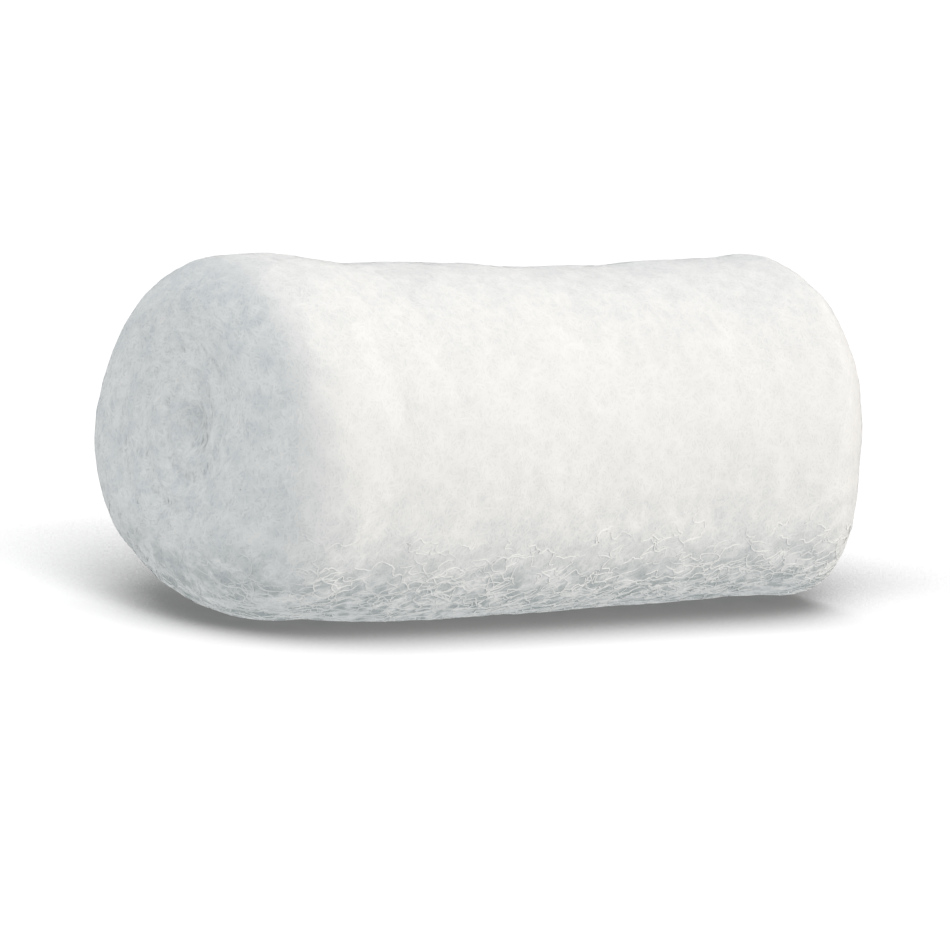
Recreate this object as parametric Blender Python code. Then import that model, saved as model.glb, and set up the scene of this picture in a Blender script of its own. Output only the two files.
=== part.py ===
"""Gauze bandage roll: one strip of crinkled gauze wound on itself and lying on its side.

Metres, +Z up. The roll's axis lies along X and the end at -X is the near one. The origin is on the
surface that the roll lies on, in the middle under it. It is one solid, because the bandage is one
piece of cloth: its soft outline, the rim of outer turns at the near end with the crease behind it,
the coils that stand up on both ends round the pit where the winding starts, the strip's own end
lying along the back, and the flat spot that the roll's weight presses.
"""

import math
from collections import namedtuple

import bmesh
import bpy
from mathutils import Vector, noise

# The roll
STRIP_WIDTH = 0.114  # the bandage's width, which is the roll's length
MEAN_RADIUS = 0.026
TURN_THICKNESS = 0.0008  # one turn of the folded gauze where nothing presses it
STRIP_END_ANGLE = math.radians(222)  # where the strip ends: low on the back
STRIP_END_SPREAD = math.radians(9)  # the edge isn't crisp, so its step is a short slope
REST_DEPTH = 0.0014  # how far the weight presses the lowest stretch flat

# Angles run round the axis from the front (-Y) over the top (+Z) to the back (+Y). "lift" raises
# the turns there over the axis, and "along" is measured from the near end.
Section = namedtuple("Section", "along radius lift")
SECTIONS = (
    Section(along=0.000, radius=0.0254, lift=0.0022),
    Section(along=0.009, radius=0.0265, lift=0.0026),
    Section(along=0.018, radius=0.0270, lift=0.0022),
    Section(along=0.027, radius=0.0269, lift=0.0013),
    Section(along=0.0315, radius=0.0269, lift=0.0009),
    Section(along=0.036, radius=0.0271, lift=0.0012),
    Section(along=0.047, radius=0.0269, lift=0.0009),
    Section(along=0.060, radius=0.0264, lift=0.0005),
    Section(along=0.076, radius=0.0262, lift=0.0011),
    Section(along=0.088, radius=0.0265, lift=0.0013),
    Section(along=0.101, radius=0.0264, lift=0.0019),
    Section(along=0.114, radius=0.0268, lift=0.0022),
)

# The crease behind the rim of outer turns, which runs right round the near end, on a slant
CREASE_ALONG = 0.0212
CREASE_SLANT = 0.0008  # how much nearer the end it is at the top than at the front
CREASE_HALF_WIDTH = 0.0032
CREASE_DEPTH = 0.0006

# Each end has a shoulder, with its own rounding at the top and back, towards the front and at the
# bottom, then a dished face with a pit where the winding starts. The pit lies off the middle:
# "ahead" towards the front and "above". "lean" is how far the face's top sits back.
Pit = namedtuple("Pit", "depth radius ahead above")
End = namedtuple("End", "shoulder front_shoulder low_shoulder dish pit lean coil_turn")
NEAR_END = End(
    shoulder=0.0066, front_shoulder=0.0140, low_shoulder=0.0138, dish=0.0012,
    pit=Pit(depth=0.0020, radius=0.0034, ahead=0.0025, above=0.0032), lean=0.05, coil_turn=1.1,
)
FAR_END = End(
    shoulder=0.0050, front_shoulder=0.0112, low_shoulder=0.0036, dish=0.0010,
    pit=Pit(depth=0.0018, radius=0.0034, ahead=0.0012, above=0.0008), lean=0.13, coil_turn=3.9,
)
LEAN_REACH = 0.030  # how far along the roll a leaning face is felt
ROUNDEST_ANGLE = math.radians(-20)  # where the front shoulder is fullest: just under the front

# Coils that stand up on the ends
COIL_PITCH = 0.0052
COIL_HEIGHT = 0.0005

# Soft lumps of the loosely wound cloth
LUMP_SIZE = 0.016
LUMP_HEIGHT = 0.0005

# How finely the solid is made
ROUND_STEPS = 64
BODY_STEPS = 26
SHOULDER_STEPS = 5
FACE_STEPS = 14

COTTON_WHITE = (0.90, 0.90, 0.88, 1.0)
COTTON_ROUGHNESS = 0.9


def clear_scene():
    for obj in list(bpy.data.objects):
        bpy.data.objects.remove(obj)


def ease(share):
    """0 to 1 with no corner at either end."""
    share = min(max(share, 0.0), 1.0)
    return share * share * (3 - 2 * share)


def section_at(along):
    """The table's radius and lift at a distance from the near end, eased between its rows."""
    along = min(max(along, SECTIONS[0].along), SECTIONS[-1].along)
    for a, b in zip(SECTIONS, SECTIONS[1:]):
        if along <= b.along:
            share = ease((along - a.along) / (b.along - a.along))
            return a.radius + (b.radius - a.radius) * share, a.lift + (b.lift - a.lift) * share


def crease(along, angle):
    """How far the crease behind the near rim goes in."""
    middle = CREASE_ALONG - CREASE_SLANT * math.sin(angle)
    return CREASE_DEPTH * (1 - ease(abs(along - middle) / CREASE_HALF_WIDTH))


def strip_end_step(angle):
    """The outer turn climbs by one turn's thickness all the way round, and drops at its end."""
    past = (angle - STRIP_END_ANGLE) % (2 * math.pi)
    climbed = past / (2 * math.pi)
    dropped = ease(past / STRIP_END_SPREAD)
    return TURN_THICKNESS * (climbed - dropped + 0.5)


def lump(along, angle):
    """Uneven winding: a smooth bump or hollow, the same each time."""
    place = Vector((along, MEAN_RADIUS * math.cos(angle), MEAN_RADIUS * math.sin(angle)))
    return LUMP_HEIGHT * noise.noise(place / LUMP_SIZE)


def wound_radius(along, angle):
    """The roll's radius at a place along it, on the side that the angle points to."""
    radius, _ = section_at(along)
    return radius - crease(along, angle) + strip_end_step(angle) + lump(along, angle)


def shoulder_at(end, angle):
    """The radius that rounds an end's shoulder, which changes towards the front and the bottom."""
    ahead = max(math.cos(angle - ROUNDEST_ANGLE), 0.0)
    down = max(-math.sin(angle), 0.0)
    rounding = end.shoulder + (end.front_shoulder - end.shoulder) * ahead * ahead
    return rounding + (end.low_shoulder - rounding) * down * down


def face_depth(end, rho, rim, angle):
    """How deep an end's face lies at rho from the axis, inside a rim of this radius."""
    share = rho / rim
    dish = end.dish * (1 - share * share)
    ahead = rho * math.cos(angle) - end.pit.ahead
    above = rho * math.sin(angle) - end.pit.above
    wound = math.hypot(ahead, above)  # from the pit, which the coils run round
    pit = end.pit.depth * math.exp(-((wound / end.pit.radius) ** 2))
    coil = math.cos(2 * math.pi * wound / COIL_PITCH - math.atan2(above, ahead) + end.coil_turn)
    fade = ease(wound / COIL_PITCH) * ease((1 - share) * 3)
    return dish + pit + COIL_HEIGHT * fade * coil


def from_end(end, inwards):
    """The place along the roll that lies this far inside an end."""
    return inwards if end is NEAR_END else STRIP_WIDTH - inwards


def placed(along, reach, angle):
    """A point at this reach from the axis, with the ends' lean and the section's lift."""
    _, lift = section_at(along)
    height = reach * math.sin(angle)
    near = NEAR_END.lean * (1 - ease(along / LEAN_REACH))
    far = FAR_END.lean * (1 - ease((STRIP_WIDTH - along) / LEAN_REACH))
    return Vector((along + height * (near - far), -reach * math.cos(angle), height + lift))


def face_point(end, share, angle):
    """A point on an end's face, at a share of the way from the axis to the rim."""
    rim = wound_radius(from_end(end, 0.0), angle) - shoulder_at(end, angle)
    depth = face_depth(end, rim * share, rim, angle)
    return placed(from_end(end, depth), rim * share, angle)


def shoulder_point(end, turn, angle):
    """A point on an end's shoulder, turned this far from the face towards the roll's side."""
    rounding = shoulder_at(end, angle)
    along = from_end(end, rounding * (1 - math.cos(turn)))
    return placed(along, wound_radius(along, angle) - rounding * (1 - math.sin(turn)), angle)


def side_point(share, angle):
    """A point on the roll's side, at a share of the way from one shoulder to the other."""
    first = from_end(NEAR_END, shoulder_at(NEAR_END, angle))
    last = from_end(FAR_END, shoulder_at(FAR_END, angle))
    along = first + (last - first) * share
    return placed(along, wound_radius(along, angle), angle)


def end_rings(end, angles):
    """Rings of points from the middle of an end's face out to the roll's side."""
    rings = []
    for i in range(1, FACE_STEPS):
        rings.append([face_point(end, i / FACE_STEPS, angle) for angle in angles])
    for i in range(SHOULDER_STEPS):
        turn = math.pi / 2 * i / SHOULDER_STEPS
        rings.append([shoulder_point(end, turn, angle) for angle in angles])
    return rings


def roll_rings(angles):
    """All rings of points, from the middle of the near face to the middle of the far one."""
    sides = []
    for i in range(BODY_STEPS + 1):
        sides.append([side_point(i / BODY_STEPS, angle) for angle in angles])
    return end_rings(NEAR_END, angles) + sides + end_rings(FAR_END, angles)[::-1]


def settle(points):
    """Presses the lowest stretch flat and brings the roll over the origin."""
    floor = min(p.z for p in points) + REST_DEPTH
    for p in points:
        p.z = max(p.z - floor, 0.0)
    for axis in (0, 1):
        middle = (min(p[axis] for p in points) + max(p[axis] for p in points)) / 2
        for p in points:
            p[axis] -= middle


def make_roll_mesh():
    angles = [2 * math.pi * i / ROUND_STEPS for i in range(ROUND_STEPS)]
    rings = roll_rings(angles)
    points = [point for ring in rings for point in ring]
    points += [face_point(NEAR_END, 0.0, 0.0), face_point(FAR_END, 0.0, 0.0)]
    settle(points)

    bm = bmesh.new()
    verts = [bm.verts.new(point) for point in points]
    loops = [verts[r * ROUND_STEPS : (r + 1) * ROUND_STEPS] for r in range(len(rings))]
    for a, b in zip(loops, loops[1:]):
        for i in range(ROUND_STEPS):
            bm.faces.new((a[i - 1], b[i - 1], b[i], a[i]))
    near_middle, far_middle = verts[-2:]
    for i in range(ROUND_STEPS):
        bm.faces.new((near_middle, loops[0][i - 1], loops[0][i]))
        bm.faces.new((far_middle, loops[-1][i], loops[-1][i - 1]))
    bmesh.ops.recalc_face_normals(bm, faces=bm.faces)
    mesh = bpy.data.meshes.new("gauze_roll")
    bm.to_mesh(mesh)
    bm.free()
    return mesh


def bleached_cotton():
    material = bpy.data.materials.new("bleached_cotton_gauze")
    material.use_nodes = True
    shader = material.node_tree.nodes["Principled BSDF"]
    shader.inputs["Base Color"].default_value = COTTON_WHITE
    shader.inputs["Roughness"].default_value = COTTON_ROUGHNESS
    shader.inputs["Metallic"].default_value = 0.0
    material.diffuse_color = COTTON_WHITE
    return material


def make_gauze_roll():
    roll = bpy.data.objects.new("gauze_roll", make_roll_mesh())
    bpy.context.scene.collection.objects.link(roll)
    roll.data.materials.append(bleached_cotton())
    roll.data.shade_smooth()
    return roll


clear_scene()
make_gauze_roll()
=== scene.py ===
import math

import bmesh
import bpy
from mathutils import Matrix, Vector


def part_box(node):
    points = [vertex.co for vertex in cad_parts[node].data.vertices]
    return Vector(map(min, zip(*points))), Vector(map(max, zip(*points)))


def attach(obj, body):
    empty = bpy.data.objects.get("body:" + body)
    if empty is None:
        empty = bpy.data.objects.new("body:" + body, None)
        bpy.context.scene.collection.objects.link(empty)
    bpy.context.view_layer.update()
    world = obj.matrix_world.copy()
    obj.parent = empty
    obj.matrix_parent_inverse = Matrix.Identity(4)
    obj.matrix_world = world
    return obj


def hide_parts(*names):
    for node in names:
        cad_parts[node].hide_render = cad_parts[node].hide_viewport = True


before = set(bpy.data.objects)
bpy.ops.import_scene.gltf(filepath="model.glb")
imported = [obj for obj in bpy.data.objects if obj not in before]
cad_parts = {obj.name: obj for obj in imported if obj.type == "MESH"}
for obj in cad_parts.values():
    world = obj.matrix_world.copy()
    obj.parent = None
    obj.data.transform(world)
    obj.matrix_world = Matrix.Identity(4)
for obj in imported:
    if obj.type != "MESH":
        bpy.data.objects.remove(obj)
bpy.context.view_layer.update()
rollLow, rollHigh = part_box("gauze_roll")
rollMiddle = (rollLow + rollHigh) / 2
print("frame loaded:", [round(side * 1000, 1) for side in rollHigh - rollLow], "mm")

photoView = {
    "azimuth": -37.0,  # degrees, 0 looks along +Y
    "elevation": 8.0,
    "turn": -4.06,  # degrees that the camera is rolled
    "distance": 0.85,  # metres from the roll's middle
    "lens": 213.6,
    "sensor": 36.0,
    "aimRight": -0.00288,  # where the photo's centre lies, seen from the roll's middle
    "aimUp": -0.00679,
    "clip": (0.01, 50.0),
}


def wayTo(azimuth, elevation):
    azimuth, elevation = math.radians(azimuth), math.radians(elevation)
    level = math.cos(elevation)
    return Vector((math.sin(azimuth) * level, -math.cos(azimuth) * level, math.sin(elevation)))


def addCamera(view):
    azimuth, turn = math.radians(view["azimuth"]), math.radians(view["turn"])
    back = wayTo(view["azimuth"], view["elevation"])
    level = Vector((math.cos(azimuth), math.sin(azimuth), 0))
    upright = back.cross(level)
    right = level * math.cos(turn) - upright * math.sin(turn)
    up = level * math.sin(turn) + upright * math.cos(turn)
    aim = rollMiddle + right * view["aimRight"] + up * view["aimUp"]
    data = bpy.data.cameras.new("photoCamera")
    data.lens = view["lens"]
    data.sensor_width = view["sensor"]
    data.clip_start, data.clip_end = view["clip"]
    camera = bpy.data.objects.new("photoCamera", data)
    bpy.context.scene.collection.objects.link(camera)
    camera.matrix_world = Matrix((right, up, back)).transposed().to_4x4()
    camera.location = aim + back * view["distance"]
    bpy.context.scene.camera = camera


addCamera(photoView)
print("camera placed")


# helpers for node trees and for the meshes they make

def addStep(tree, kind, sources=None, **settings):
    step = tree.nodes.new(kind)
    for name, value in settings.items():
        setattr(step, name, value)
    for socket, source in (sources or {}).items():
        if isinstance(source, bpy.types.NodeSocket):
            tree.links.new(source, step.inputs[socket])
        else:
            step.inputs[socket].default_value = source
    return step


def calc(tree, operation, first, second=0.0, third=0.0):
    sources = {0: first, 1: second, 2: third}
    return addStep(tree, "ShaderNodeMath", sources, operation=operation).outputs[0]


def vectorCalc(tree, operation, first, second=(0, 0, 0)):
    step = addStep(tree, "ShaderNodeVectorMath", {0: first, 1: second}, operation=operation)
    return step.outputs["Value" if operation == "LENGTH" else "Vector"]


def scaled(tree, vector, factor):
    step = addStep(tree, "ShaderNodeVectorMath", {0: vector, "Scale": factor}, operation="SCALE")
    return step.outputs["Vector"]


def eased(tree, value, low, high, toLow=0.0, toHigh=1.0):
    sources = {"Value": value, "From Min": low, "From Max": high, "To Min": toLow, "To Max": toHigh}
    step = addStep(tree, "ShaderNodeMapRange", sources, interpolation_type="SMOOTHSTEP")
    return step.outputs["Result"]


def noiseAt(tree, place, size, detail=2.0, roughness=0.5):
    scale = calc(tree, "DIVIDE", 1.0, size) if isinstance(size, bpy.types.NodeSocket) else 1 / size
    sources = {"Vector": place, "Scale": scale, "Detail": detail, "Roughness": roughness}
    return addStep(tree, "ShaderNodeTexNoise", sources).outputs


def partsOf(tree, vector):
    return addStep(tree, "ShaderNodeSeparateXYZ", {0: vector}).outputs


def vectorOf(tree, x=0.0, y=0.0, z=0.0):
    return addStep(tree, "ShaderNodeCombineXYZ", {0: x, 1: y, 2: z}).outputs[0]


def between(tree, share, first, second):
    return addStep(tree, "ShaderNodeMix", {0: share, 2: first, 3: second}).outputs[0]


def spokeFrom(tree, place, middle):
    return vectorCalc(tree, "MULTIPLY", vectorCalc(tree, "SUBTRACT", place, middle), (0, 1, 1))


def onEnds(tree, normal, reach):
    return eased(tree, calc(tree, "ABSOLUTE", partsOf(tree, normal)["X"]), *reach)


def offFloor(tree, place, least):
    parts = partsOf(tree, place)
    return vectorOf(tree, parts["X"], parts["Y"], calc(tree, "MAXIMUM", parts["Z"], least))


def newTree(name, inputs):
    tree = bpy.data.node_groups.new(name, "GeometryNodeTree")
    tree.interface.new_socket("Geometry", in_out="INPUT", socket_type="NodeSocketGeometry")
    tree.interface.new_socket("Geometry", in_out="OUTPUT", socket_type="NodeSocketGeometry")
    for label, kind in inputs.items():
        tree.interface.new_socket(label, in_out="INPUT", socket_type="NodeSocket" + kind)
    return tree, tree.nodes.new("NodeGroupInput").outputs


def endTree(tree, geometry, material):
    real = addStep(tree, "GeometryNodeRealizeInstances", {"Geometry": geometry}).outputs[0]
    last = addStep(tree, "GeometryNodeSetMaterial", {"Geometry": real, "Material": material})
    tree.links.new(last.outputs[0], tree.nodes.new("NodeGroupOutput").inputs[0])


def grow(name, mesh, tree, values):
    holder = bpy.data.objects.new(name + "Holder", mesh)
    bpy.context.scene.collection.objects.link(holder)
    modifier = holder.modifiers.new("grow", "NODES")
    modifier.node_group = tree
    for item in tree.interface.items_tree:
        if item.in_out == "INPUT" and item.name in values:
            modifier[item.identifier] = values[item.name]
    shown = holder.evaluated_get(bpy.context.evaluated_depsgraph_get())
    made = bpy.data.meshes.new_from_object(shown)
    holder.modifiers.remove(modifier)
    bpy.data.objects.remove(holder)
    made.name = name
    piece = bpy.data.objects.new(name, made)
    bpy.context.scene.collection.objects.link(piece)
    return piece


def dress(piece):
    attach(piece, "root")
    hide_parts("gauze_roll")
    print(f"{piece.name}: {sum(len(p.vertices) - 2 for p in piece.data.polygons)} triangles")


# bleached cotton: mottled, with short curls on the wound turns and a tone of its own for each yarn; with
# painted shade in the gaps low on the roll, round the pit, on the far end and in the ends' stronger
# mottling

cottonLooks = {
    "side": {"dark": (0.835, 0.84, 0.84), "light": (0.895, 0.892, 0.885)},
    # the ends' tones: their stronger mottling, blue-grey in the dark, is partly painted shade standing in
    # for the shading of the ends' uneven depth
    "end": {"dark": (0.73, 0.75, 0.765), "light": (0.935, 0.935, 0.925)},
    "sideYarn": {"dark": (0.875, 0.876, 0.873), "light": (0.92, 0.918, 0.912), "gapShadeShare": 0.85},
    # the end yarns' wider tones are partly painted shade in the same way
    "endYarn": {"dark": (0.79, 0.815, 0.83), "light": (0.99, 0.985, 0.97), "gapShadeShare": 0.85},
    "lowYarn": {"dark": (0.80, 0.81, 0.805), "light": (0.98, 0.98, 0.97), "gapShadeShare": 0.15},
    "endReach": (0.4, 0.9),  # how squarely the cloth faces along the roll where the end's tones start
    "gapShade": (0.36, 0.41, 0.415),  # painted shade low on the roll, in the gaps between the slack yarns where the light goes in
    "gapShadeReach": (0.002, 0.017),  # metres above the floor, from full to none
    "gapShadeSize": 0.0036,
    "gapShadeEdges": (0.32, 0.62),  # between which values of the noise the gaps open
    "far": (0.62, 0.62, 0.61),  # painted shade: the far end faces the key light, so its colour is made a little less white
    "farReach": (0.1, 0.6),  # how squarely the cloth faces that way, from none of its tone to all
    "farShare": 0.4,
    "pit": (0.66, 0.69, 0.70),  # painted shade round the pit where the winding starts, in the middle of the ends
    "pitShare": 0.25,
    "pitAhead": 0.0025,
    "pitAbove": 0.0032,
    "pitReach": 0.0034,
    "lively": 1.1,  # how strong the side's mottling is, and how much is added low down and on top; the extra low down is painted shade, standing in for the sharper shading that grazing light gives the yarns there
    "lowShadeMottling": 2.2,
    "lowReach": (0.012, 0.028),
    "livelyTop": 0.9,
    "topReach": (0.036, 0.050),
    "blotchSize": 0.0034,
    "blotchFine": 0.65,  # how strong the finer blotches are beside the larger ones
    "blotchEdges": (0.34, 0.66),
    "curlSizes": (0.0011, 0.0007),
    "curlWidth": 0.07,  # how far the noise is from its middle at a curl's edge
    "curlShare": 0.4,  # how much of the wound turns' tone is that of the curls
    "yarnBlotch": 0.65,  # how much of a yarn's tone is that of the blotch it lies on
    "aroundWind": 0.7,  # the curls are a little longer round the roll than along it
    "bump": 0.2,
    "bumpHeight": 0.00015,
    "roughness": 0.95,
    "specular": 0.1,
    "sheen": 0.25,
    "sheenRoughness": 0.6,
}


def cottonShader(name):
    material = bpy.data.materials.new(name + "Cotton")
    material.use_nodes = True
    shader = material.node_tree.nodes["Principled BSDF"]
    shader.inputs["Roughness"].default_value = cottonLooks["roughness"]
    shader.inputs["Sheen Weight"].default_value = cottonLooks["sheen"]
    shader.inputs["Sheen Roughness"].default_value = cottonLooks["sheenRoughness"]
    shader.inputs["Specular IOR Level"].default_value = cottonLooks["specular"]
    return material, material.node_tree, shader


def mixed(tree, share, first, second):
    first, second = (c if isinstance(c, bpy.types.NodeSocket) else (*c, 1) for c in (first, second))
    step = addStep(tree, "ShaderNodeMix", {0: share, 6: first, 7: second}, data_type="RGBA")
    step.clamp_factor = False  # a stronger tone may go a little past both colours
    return step.outputs[2]


def toned(tree, tone, name):
    return mixed(tree, tone, cottonLooks[name]["dark"], cottonLooks[name]["light"])


def curlLines(tree, place, size):
    off = calc(tree, "ABSOLUTE", calc(tree, "SUBTRACT", noiseAt(tree, place, size, detail=1.0)["Fac"], 0.5))
    return eased(tree, off, 0.0, cottonLooks["curlWidth"], 1.0, 0.0)


def blotches(tree, place, name):
    size, fine = cottonLooks[name + "Size"], cottonLooks["blotchFine"]
    field = noiseAt(tree, place, size, detail=3.0, roughness=fine)["Fac"]
    return eased(tree, field, *cottonLooks[name + "Edges"])


# stronger mottling low down is painted shade; on top the mottling is made stronger as well
def livelier(tree, place, tone):
    height = partsOf(tree, place)["Z"]
    low = eased(tree, height, *cottonLooks["lowReach"], cottonLooks["lowShadeMottling"], 0.0)
    top = eased(tree, height, *cottonLooks["topReach"], 0.0, cottonLooks["livelyTop"])
    strength = calc(tree, "ADD", calc(tree, "ADD", low, top), cottonLooks["lively"])
    return calc(tree, "MULTIPLY_ADD", calc(tree, "SUBTRACT", tone, 0.5), strength, 0.5)


# painted shade on the far end, where it faces the key light
def paintedFarShade(tree, normal, colour):
    share = eased(tree, partsOf(tree, normal)["X"], *cottonLooks["farReach"], 0.0, cottonLooks["farShare"])
    return mixed(tree, share, colour, cottonLooks["far"])


# painted shade in the pit's hollow, in the middle of the ends
def paintedPitShade(tree, place, colour):
    middle = (0, -cottonLooks["pitAhead"], rollMiddle.z + cottonLooks["pitAbove"])
    reach = vectorCalc(tree, "LENGTH", spokeFrom(tree, place, middle))
    near = eased(tree, reach, 0.0, cottonLooks["pitReach"], cottonLooks["pitShare"], 0.0)
    return mixed(tree, near, colour, cottonLooks["pit"])


# painted shade: blotchy dark gaps low on the roll, where the overhang keeps the light out
def gapShadeTone(tree, place, colour, share):
    low = eased(tree, partsOf(tree, place)["Z"], *cottonLooks["gapShadeReach"], share, 0.0)
    gaps = calc(tree, "MULTIPLY", low, blotches(tree, place, "gapShade"))
    return mixed(tree, gaps, colour, cottonLooks["gapShade"])


# lays the painted shades on a colour: in the gaps low down, round the pit and on the far end
def paintedShadeTone(tree, place, normal, colour, gapShadeShare):
    return paintedFarShade(tree, normal, paintedPitShade(tree, place, gapShadeTone(tree, place, colour, gapShadeShare)))


def woundCottonLook():
    material, tree, shader = cottonShader("wound")
    place = tree.nodes.new("ShaderNodeTexCoord").outputs["Object"]
    normal = tree.nodes.new("ShaderNodeNewGeometry").outputs["Normal"]
    around = cottonLooks["aroundWind"]
    wind = addStep(tree, "ShaderNodeMapping", {"Vector": place, "Scale": (1, around, around)}).outputs[0]
    coarse, fine = (curlLines(tree, wind, size) for size in cottonLooks["curlSizes"])
    curls = calc(tree, "ADD", calc(tree, "MULTIPLY", coarse, 0.5), calc(tree, "MULTIPLY", fine, 0.5))
    curlShare = cottonLooks["curlShare"]
    mottled = calc(tree, "MULTIPLY", blotches(tree, place, "blotch"), 1 - curlShare)
    tone = calc(tree, "MULTIPLY_ADD", curls, curlShare, mottled)
    side = toned(tree, livelier(tree, place, tone), "side")
    # the ends take the end tones, whose stronger mottling is partly painted shade
    colour = mixed(tree, onEnds(tree, normal, cottonLooks["endReach"]), side, toned(tree, tone, "end"))
    tree.links.new(paintedShadeTone(tree, place, normal, colour, 1.0), shader.inputs["Base Color"])
    bump = addStep(tree, "ShaderNodeBump", {
        "Strength": cottonLooks["bump"], "Distance": cottonLooks["bumpHeight"], "Height": curls,
    })
    tree.links.new(bump.outputs[0], shader.inputs["Normal"])
    return material


def yarnCottonLook(name):
    material, tree, shader = cottonShader(name)
    place = tree.nodes.new("ShaderNodeTexCoord").outputs["Object"]
    normal = tree.nodes.new("ShaderNodeNewGeometry").outputs["Normal"]
    own = addStep(tree, "ShaderNodeAttribute", attribute_name="tone").outputs["Fac"]
    tone = between(tree, cottonLooks["yarnBlotch"], own, blotches(tree, place, "blotch"))
    if name == "sideYarn":
        tone = livelier(tree, place, tone)
    colour = paintedShadeTone(tree, place, normal, toned(tree, tone, name), cottonLooks[name]["gapShadeShare"])
    tree.links.new(colour, shader.inputs["Base Color"])
    return material


woundCotton = woundCottonLook()
yarnCottons = {name: yarnCottonLook(name) for name in ("sideYarn", "endYarn", "lowYarn")}


# the wound turns: the solid's own form, with finer lumps and soft furrows round the roll

woundTurns = {
    "Levels": 2,
    "Lump size": 0.0045,
    "Lump height": 0.00055,
    "Furrow size": 0.0011,
    "Furrow height": 0.00011,
    "Furrow stretch": 0.4,
    "Turn pitch": 0.0016,
    "Turn height": 0.00003,
    "Turn wobble": 9.0,
}
woundForm = {
    "turnReach": (0.55, 0.95),  # how squarely the cloth faces along the roll where its turns show
    "pointsApart": 0.00002,
    "faceBend": 0.7,  # how bent and how skewed a four-sided face of two triangles may be
    "faceSkew": 0.9,
}


def woundTree():
    inputs = {name: "Float" for name in woundTurns}
    tree, given = newTree("woundTurns", {
        **inputs, "Levels": "Int", "Axis height": "Float", "Material": "Material",
    })
    fine = addStep(tree, "GeometryNodeSubdivisionSurface", {
        "Mesh": given["Geometry"], "Level": given["Levels"],
    }).outputs[0]
    place = tree.nodes.new("GeometryNodeInputPosition").outputs[0]
    normal = tree.nodes.new("GeometryNodeInputNormal").outputs[0]
    lumps = noiseAt(tree, place, given["Lump size"])["Fac"]
    stretch = vectorOf(tree, 1.0, given["Furrow stretch"], given["Furrow stretch"])
    furrows = noiseAt(tree, vectorCalc(tree, "MULTIPLY", place, stretch), given["Furrow size"])["Fac"]
    # turns that show as soft rings on the two ends
    spoke = spokeFrom(tree, place, vectorOf(tree, z=given["Axis height"]))
    parts = partsOf(tree, spoke)
    turned = calc(tree, "ARCTAN2", parts["Z"], parts["Y"])
    turns = calc(tree, "DIVIDE", vectorCalc(tree, "LENGTH", spoke), given["Turn pitch"])
    wave = calc(tree, "SUBTRACT", calc(tree, "MULTIPLY", turns, 2 * math.pi), turned)
    wobble = calc(tree, "MULTIPLY", lumps, given["Turn wobble"])
    rings = calc(tree, "SINE", calc(tree, "ADD", wave, wobble))
    shown = calc(tree, "MULTIPLY", rings, onEnds(tree, normal, woundForm["turnReach"]))
    rise = calc(tree, "MULTIPLY", shown, given["Turn height"])
    for field, height in ((lumps, "Lump height"), (furrows, "Furrow height")):
        rise = calc(tree, "MULTIPLY_ADD", calc(tree, "SUBTRACT", field, 0.5), given[height], rise)
    moved = addStep(tree, "GeometryNodeSetPosition", {
        "Geometry": fine, "Offset": scaled(tree, normal, rise),
    }).outputs[0]
    rested = addStep(tree, "GeometryNodeSetPosition", {
        "Geometry": moved, "Position": offFloor(tree, place, 0.0),
    }).outputs[0]
    smooth = addStep(tree, "GeometryNodeSetShadeSmooth", {"Geometry": rested})
    endTree(tree, smooth.outputs[0], given["Material"])
    return tree


def solidCopy():
    bm = bmesh.new()
    bm.from_mesh(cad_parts["gauze_roll"].data)
    bmesh.ops.remove_doubles(bm, verts=bm.verts, dist=woundForm["pointsApart"])
    bmesh.ops.join_triangles(
        bm, faces=bm.faces, angle_face_threshold=woundForm["faceBend"],
        angle_shape_threshold=woundForm["faceSkew"])
    bmesh.ops.recalc_face_normals(bm, faces=bm.faces)
    mesh = bpy.data.meshes.new("woundForm")
    bm.to_mesh(mesh)
    bm.free()
    return mesh


woundGauze = grow("woundGauze", solidCopy(), woundTree(), {
    **woundTurns, "Axis height": rollMiddle.z, "Material": woundCotton,
})
dress(woundGauze)


# yarns that lie on the wound turns: scattered, crinkled, and arched a little off the surface

yarnLay = {
    "endReach": (0.45, 0.85),  # how squarely the cloth faces along the roll where its ends start
    "lowReach": (0.001, 0.021),  # metres above the floor, from all the loose threads to none
    "lowFall": 1.7,  # how fast they thin out between the two
    "lengths": (0.6, 1.4),
    "unevenSize": 1 / 900,
    "unevenRise": 0.6,  # a yarn's height also varies along it, by this share of its rise
    "tipReach": 0.6,
    "offFloor": 0.00002,
    "turnSeed": 11.0,
    "lengthSeed": 23.0,
}
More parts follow.
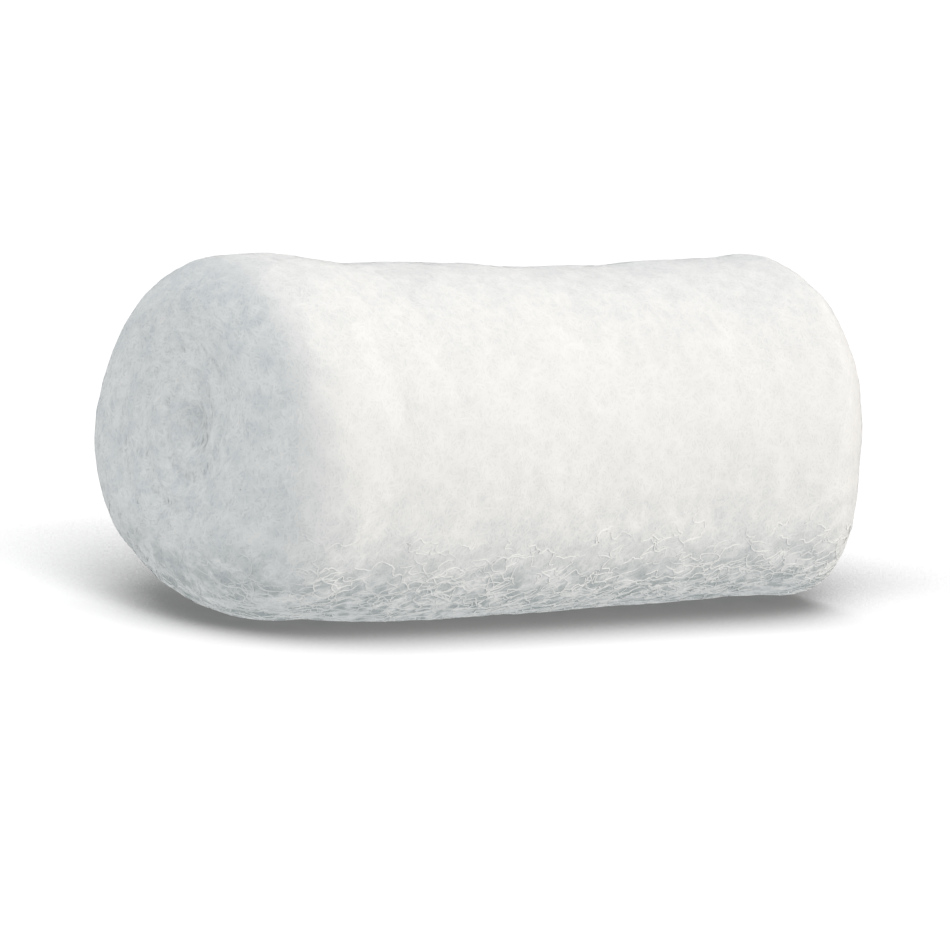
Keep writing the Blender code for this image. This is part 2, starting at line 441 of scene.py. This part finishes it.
# directions and spreads are in radians from the winding, areas in square metres
yarnPieces = {
    "sideCurls": {
        "On side": 1.0, "On ends": 0.0, "Yarns per area": 1500000.0,
        "Length": 0.0020, "Thickness": 0.00028, "Direction": 0.0, "Spread": 1.0, "Seed": 3,
    },
    "sideCurlsAcross": {
        "On side": 1.0, "On ends": 0.0, "Yarns per area": 1500000.0,
        "Length": 0.0020, "Thickness": 0.00028, "Direction": 1.57, "Spread": 1.57, "Seed": 5,
    },
    "endCurls": {
        "On side": 0.0, "On ends": 1.0, "Yarns per area": 5000000.0,
        "Length": 0.0022, "Thickness": 0.00030, "Direction": 0.0, "Spread": 1.2, "Seed": 7,
    },
    "crinkledThreads": {
        "On side": 1.0, "On ends": 0.5, "Yarns per area": 80000.0,
        "Length": 0.005, "Thickness": 0.00024, "Direction": 0.8, "Spread": 1.57, "Seed": 9,
        "Points": 12, "Crinkle size": 0.0016, "Crinkle": 0.0026, "Tip": 0.3,
    },
    "looseThreads": {
        "On side": 1.0, "On ends": 0.8, "Yarns per area": 480000.0,
        "Length": 0.0055, "Thickness": 0.00020, "Direction": 1.57, "Spread": 1.1, "Seed": 13,
        "Points": 18, "Crinkle size": 0.0014, "Crinkle": 0.0036, "Low share": 1.0,
        "Rise": 0.00004, "Upturn": 0.45,
    },
}
curlShape = {  # what a piece has where it says nothing else
    "Points": 4, "Crinkle size": 0.0012, "Crinkle": 0.0014, "Low share": 0.0,
    "Rise": 0.000012, "Tip": 0.2, "Upturn": 0.0,
}
yarnFinish = {"endCurls": "endYarn", "looseThreads": "lowYarn"}  # the others have the side's


def randomBetween(tree, least, most, seed):
    return addStep(tree, "FunctionNodeRandomValue", {2: least, 3: most, "Seed": seed}).outputs[1]


def kept(tree, geometry, name, value, kind="FLOAT"):
    sources = {"Geometry": geometry, "Name": name, "Value": value}
    return addStep(tree, "GeometryNodeStoreNamedAttribute", sources, data_type=kind).outputs[0]


def recalled(tree, name, kind="FLOAT"):
    step = addStep(tree, "GeometryNodeInputNamedAttribute", {"Name": name}, data_type=kind)
    return step.outputs["Attribute"]


def nearestOn(tree, ground, value):
    sources = {"Mesh": ground, "Value": value}
    step = addStep(tree, "GeometryNodeSampleNearestSurface", sources, data_type="FLOAT_VECTOR")
    return step.outputs[0]


def scatterYarns(tree, given, place, normal):
    onEnd = onEnds(tree, normal, yarnLay["endReach"])
    onSide = calc(tree, "MULTIPLY", calc(tree, "SUBTRACT", 1.0, onEnd), given["On side"])
    share = calc(tree, "ADD", calc(tree, "MULTIPLY", onEnd, given["On ends"]), onSide)
    low = eased(tree, partsOf(tree, place)["Z"], *yarnLay["lowReach"], 1.0, 0.0)
    low = calc(tree, "POWER", low, yarnLay["lowFall"])
    share = calc(tree, "MULTIPLY", share, between(tree, given["Low share"], 1.0, low))
    points = addStep(tree, "GeometryNodeDistributePointsOnFaces", {
        "Mesh": given["Geometry"], "Seed": given["Seed"],
        "Density": calc(tree, "MULTIPLY", share, given["Yarns per area"]),
    }).outputs
    # each lies along the winding, turned a little
    spoke = spokeFrom(tree, place, vectorOf(tree, z=given["Axis height"]))
    around = vectorCalc(tree, "CROSS_PRODUCT", (1, 0, 0), spoke)
    along = addStep(tree, "FunctionNodeAlignRotationToVector", {"Vector": around}, axis="X")
    flat = addStep(tree, "FunctionNodeAlignRotationToVector", {
        "Rotation": along.outputs[0], "Vector": points["Normal"],
    }, axis="Z", pivot_axis="X")
    angle = randomBetween(
        tree, calc(tree, "SUBTRACT", given["Direction"], given["Spread"]),
        calc(tree, "ADD", given["Direction"], given["Spread"]),
        calc(tree, "ADD", given["Seed"], yarnLay["turnSeed"]))
    twist = addStep(tree, "FunctionNodeAxisAngleToRotation", {"Axis": (0, 0, 1), "Angle": angle})
    rotation = addStep(tree, "FunctionNodeRotateRotation", {
        "Rotation": flat.outputs[0], "Rotate By": twist.outputs[0],
    }, rotation_space="LOCAL").outputs[0]
    size = randomBetween(
        tree, *yarnLay["lengths"], calc(tree, "ADD", given["Seed"], yarnLay["lengthSeed"]))
    line = addStep(tree, "GeometryNodeCurvePrimitiveLine", {"Start": (-0.5, 0, 0), "End": (0.5, 0, 0)})
    run = addStep(tree, "GeometryNodeResampleCurve", {
        "Curve": line.outputs[0], "Count": given["Points"],
    })
    copies = addStep(tree, "GeometryNodeInstanceOnPoints", {
        "Points": kept(tree, points["Points"], "tone", randomBetween(tree, 0.0, 1.0, given["Seed"])),
        "Instance": run.outputs[0], "Rotation": rotation,
        "Scale": vectorOf(tree, calc(tree, "MULTIPLY", size, given["Length"]), 1.0, 1.0),
    })
    return addStep(tree, "GeometryNodeRealizeInstances", {"Geometry": copies.outputs[0]}).outputs[0]


def layYarns(tree, given, place, yarns, outward, arch):
    # crinkles along the surface, then an arch off it
    wiggle = noiseAt(tree, place, given["Crinkle size"], detail=0.0)["Color"]
    offset = scaled(tree, vectorCalc(tree, "SUBTRACT", wiggle, (0.5, 0.5, 0.5)), given["Crinkle"])
    crinkled = addStep(tree, "GeometryNodeSetPosition", {"Geometry": yarns, "Offset": offset})
    rise = calc(tree, "MULTIPLY", calc(tree, "MULTIPLY", arch, recalled(tree, "tone")), given["Rise"])
    uneven = noiseAt(tree, place, yarnLay["unevenSize"], detail=1.0)["Fac"]
    most = calc(tree, "MULTIPLY", given["Rise"], yarnLay["unevenRise"])
    rise = calc(tree, "MULTIPLY_ADD", uneven, most, rise)
    under = nearestOn(tree, given["Geometry"], place)
    above = vectorCalc(tree, "ADD", under, scaled(tree, outward, rise))
    laid = addStep(tree, "GeometryNodeSetPosition", {"Geometry": crinkled.outputs[0], "Position": above})
    return laid.outputs[0]


def flattenYarns(tree, given, place, laid, outward, arch):
    # a soft strand that thins towards both ends, flat on the cloth or, where it stands off, turned up
    thin = eased(tree, arch, 0.0, yarnLay["tipReach"], given["Tip"], 1.0)
    half = calc(tree, "MULTIPLY", calc(tree, "MULTIPLY", thin, given["Thickness"]), 0.5)
    upturn = vectorOf(tree, z=given["Upturn"])
    facing = vectorCalc(tree, "NORMALIZE", vectorCalc(tree, "ADD", outward, upturn))
    tangent = tree.nodes.new("GeometryNodeInputTangent").outputs[0]
    across = vectorCalc(tree, "NORMALIZE", vectorCalc(tree, "CROSS_PRODUCT", tangent, facing))
    strand = laid
    for name, field in (("spine", place), ("facing", facing), ("across", scaled(tree, across, half))):
        strand = kept(tree, strand, name, field, "FLOAT_VECTOR")
    profile = addStep(tree, "GeometryNodeCurvePrimitiveLine", {"Start": (-1, 0, 0), "End": (1, 0, 0)})
    ribbon = addStep(tree, "GeometryNodeCurveToMesh", {
        "Curve": strand,
        "Profile Curve": kept(tree, profile.outputs[0], "edge", partsOf(tree, place)["X"]),
    }).outputs[0]
    spine, facing, across = (
        recalled(tree, name, "FLOAT_VECTOR") for name in ("spine", "facing", "across"))
    spread = vectorCalc(tree, "ADD", spine, scaled(tree, across, recalled(tree, "edge")))
    flat = addStep(tree, "GeometryNodeSetPosition", {
        "Geometry": ribbon, "Position": offFloor(tree, spread, yarnLay["offFloor"]),
    }).outputs[0]
    for name in ("spine", "across", "edge"):
        flat = addStep(tree, "GeometryNodeRemoveAttribute", {"Geometry": flat, "Name": name}).outputs[0]
    smooth = addStep(tree, "GeometryNodeSetShadeSmooth", {"Geometry": flat})
    soft = addStep(tree, "GeometryNodeSetMeshNormal", mode="FREE", domain="POINT")
    tree.links.new(smooth.outputs[0], soft.inputs["Mesh"])
    tree.links.new(facing, soft.inputs["Custom Normal"])
    return soft.outputs[0]


def yarnTree():
    inputs = {name: "Float" for values in yarnPieces.values() for name in {**curlShape, **values}}
    tree, given = newTree("crinkledYarns", {
        **inputs, "Points": "Int", "Seed": "Int", "Axis height": "Float", "Material": "Material",
    })
    place = tree.nodes.new("GeometryNodeInputPosition").outputs[0]
    normal = tree.nodes.new("GeometryNodeInputNormal").outputs[0]
    yarns = scatterYarns(tree, given, place, normal)
    outward = nearestOn(tree, given["Geometry"], normal)
    share = tree.nodes.new("GeometryNodeSplineParameter").outputs["Factor"]
    arch = calc(tree, "SINE", calc(tree, "MULTIPLY", share, math.pi))
    laid = layYarns(tree, given, place, yarns, outward, arch)
    endTree(tree, flattenYarns(tree, given, place, laid, outward, arch), given["Material"])
    return tree


crinkledYarns = yarnTree()
for name, values in yarnPieces.items():
    dress(grow(name, woundGauze.data.copy(), crinkledYarns, {
        **curlShape, **values, "Axis height": rollMiddle.z,
        "Material": yarnCottons[yarnFinish.get(name, "sideYarn")],
    }))


# floor and light

studio = {
    "floorSize": 12.0,
    "floorColour": 0.1,
    "floorGlow": 1.0,
    "floorRoughness": 0.9,
    "floorShade": 0.15,  # what is left of the glow right under the roll
    "shadeSamples": 8,
    "shadeUnder": {"reach": 0.022, "edges": (0.12, 0.85)},
    # looks for open sky towards this fixed way, so the shade reaches farther behind the roll
    "shadeBehind": {"reach": 0.08, "edges": (0.6, 0.9), "azimuth": -37, "elevation": 15},
    "dome": (0.961, 0.991, 1.0),
    "domeStrength": 0.666,
    "key": {"energy": 1.59, "azimuth": 50, "elevation": 20, "spread": 30, "colour": (1.0, 0.885, 0.775)},
    "top": {"energy": 0.36, "azimuth": 0, "elevation": 85, "spread": 60, "colour": (0.8, 0.9, 1.0)},
}


def openSky(tree, shade, way=None):
    sources = {"Distance": shade["reach"], **(way or {})}
    step = addStep(tree, "ShaderNodeAmbientOcclusion", sources, samples=studio["shadeSamples"])
    return eased(tree, step.outputs["AO"], *shade["edges"])


def addFloor():
    half = studio["floorSize"] / 2
    mesh = bpy.data.meshes.new("floor")
    corners = [(-half, -half, 0), (half, -half, 0), (half, half, 0), (-half, half, 0)]
    mesh.from_pydata(corners, [], [(0, 1, 2, 3)])
    floor = bpy.data.objects.new("floor", mesh)
    bpy.context.scene.collection.objects.link(floor)
    material = bpy.data.materials.new("whiteFloor")
    material.use_nodes = True
    tree = material.node_tree
    shader = tree.nodes["Principled BSDF"]
    under, behind = studio["shadeUnder"], studio["shadeBehind"]
    tilt = vectorOf(tree, *wayTo(behind["azimuth"], behind["elevation"]))
    lit = calc(tree, "MULTIPLY", openSky(tree, under), openSky(tree, behind, {"Normal": tilt}))
    glow = mixed(tree, lit, (studio["floorShade"],) * 3, (1, 1, 1))
    tree.links.new(glow, shader.inputs["Emission Color"])
    shader.inputs["Emission Strength"].default_value = studio["floorGlow"]
    shader.inputs["Base Color"].default_value = (studio["floorColour"],) * 3 + (1,)
    shader.inputs["Roughness"].default_value = studio["floorRoughness"]
    shader.inputs["Specular IOR Level"].default_value = 0.0
    mesh.materials.append(material)
    # the dome lights the roll from all round, so the floor only has to be seen
    floor.visible_diffuse = False
    floor.visible_shadow = False


def addLight():
    world = bpy.data.worlds.new("studio")
    world.use_nodes = True
    dome = world.node_tree.nodes["Background"]
    dome.inputs["Color"].default_value = (*studio["dome"], 1)
    dome.inputs["Strength"].default_value = studio["domeStrength"]
    bpy.context.scene.world = world
    for name in ("key", "top"):
        light = studio[name]
        data = bpy.data.lights.new(name, "SUN")
        data.energy = light["energy"]
        data.angle = math.radians(light["spread"])
        data.color = light["colour"]
        lamp = bpy.data.objects.new(name, data)
        way = wayTo(light["azimuth"], light["elevation"])
        lamp.rotation_euler = way.to_track_quat("Z", "Y").to_euler()
        bpy.context.scene.collection.objects.link(lamp)


addFloor()
addLight()
bpy.context.scene.view_settings.view_transform = "Standard"
print("floor and light set")
